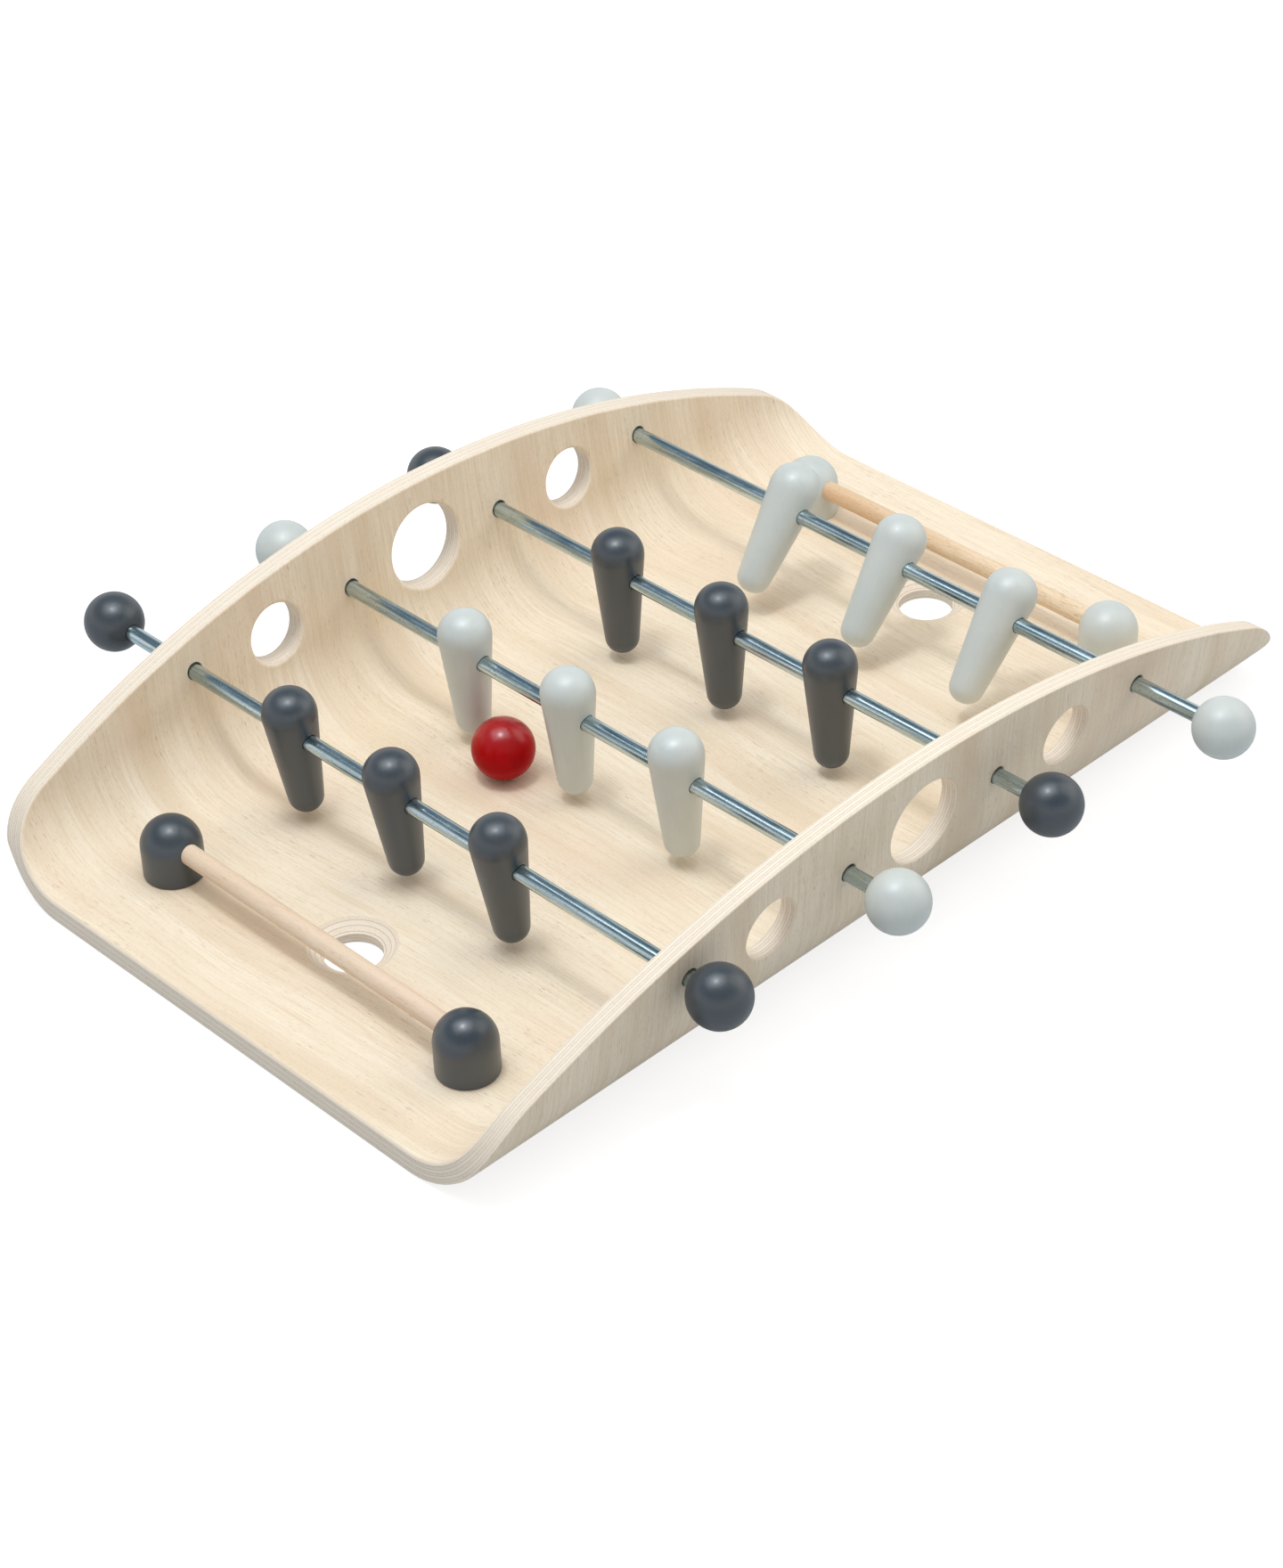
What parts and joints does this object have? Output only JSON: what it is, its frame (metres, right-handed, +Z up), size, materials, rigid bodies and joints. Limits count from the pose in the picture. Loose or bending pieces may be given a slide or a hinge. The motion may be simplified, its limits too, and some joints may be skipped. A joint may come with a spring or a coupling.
{
  "type": "table football game",
  "caption": "Small table football game: an open-ended bent plywood tray with sliding, turning steel rods that carry peg players and ball knobs, goal posts with a bar, and a ball.",
  "frame": {"origin": "middle of the tray's flat underside", "axes": "+X along the pitch from the dark side's goal to the light side's goal, +Y along the rods, +Z up"},
  "size_m": [0.546, 0.4835, 0.0994],
  "materials": {
    "plywood": "pale matt beech plywood",
    "rod_steel": "bright zinc",
    "dark_paint": "satin slate grey paint on wood",
    "light_paint": "satin pale grey paint on wood",
    "dowel": "bare beech dowel",
    "ball_gloss": "gloss red",
    "screw_steel": "bright zinc"
  },
  "bodies": {
    "tray": {"plywood_tray": "plywood", "dark_post_left": "dark_paint", "dark_post_right": "dark_paint", "dark_goal_bar": "dowel", "light_post_left": "light_paint", "light_post_right": "light_paint", "light_goal_bar": "dowel", "post_screws": "screw_steel"},
    "rod_1": {"rod_1": "rod_steel"},
    "rod_2": {"rod_2": "rod_steel"},
    "rod_3": {"rod_3": "rod_steel"},
    "rod_4": {"rod_4": "rod_steel"},
    "row_1": {"player_1a": "dark_paint", "player_1b": "dark_paint", "player_1c": "dark_paint", "knob_1_left": "dark_paint", "knob_1_right": "dark_paint"},
    "row_2": {"player_2a": "light_paint", "player_2b": "light_paint", "player_2c": "light_paint", "knob_2_left": "light_paint", "knob_2_right": "light_paint"},
    "row_3": {"player_3a": "dark_paint", "player_3b": "dark_paint", "player_3c": "dark_paint", "knob_3_left": "dark_paint", "knob_3_right": "dark_paint"},
    "row_4": {"player_4a": "light_paint", "player_4b": "light_paint", "player_4c": "light_paint", "knob_4_left": "light_paint", "knob_4_right": "light_paint"},
    "ball": {"ball": "ball_gloss"}
  },
  "joints": [
    {"name": "rod_1_slide", "type": "slide", "parent": "tray", "child": "rod_1", "axis": [0, 1, 0], "range_m": [-0.0368, 0.0016]},
    {"name": "row_1_spin", "type": "hinge", "parent": "rod_1", "child": "row_1", "pos_m": [-0.15, 0, 0.06175], "axis": [0, 1, 0], "continuous": true},
    {"name": "rod_2_slide", "type": "slide", "parent": "tray", "child": "rod_2", "axis": [0, 1, 0], "range_m": [-0.0095, 0.0132]},
    {"name": "row_2_spin", "type": "hinge", "parent": "rod_2", "child": "row_2", "pos_m": [-0.05, 0, 0.06175], "axis": [0, 1, 0], "continuous": true},
    {"name": "rod_3_slide", "type": "slide", "parent": "tray", "child": "rod_3", "axis": [0, 1, 0], "range_m": [-0.0224, 0.016]},
    {"name": "row_3_spin", "type": "hinge", "parent": "rod_3", "child": "row_3", "pos_m": [0.05, 0, 0.06175], "axis": [0, 1, 0], "continuous": true},
    {"name": "rod_4_slide", "type": "slide", "parent": "tray", "child": "rod_4", "axis": [0, 1, 0], "range_m": [-0.0028, 0.0356]},
    {"name": "row_4_spin", "type": "hinge", "parent": "rod_4", "child": "row_4", "pos_m": [0.15, 0, 0.06175], "axis": [0, 1, 0], "continuous": true},
    {"name": "ball_lift", "type": "slide", "parent": "tray", "child": "ball", "axis": [-0.4226, 0, 0.9063], "range_m": [0, 0.12]}
  ]
}
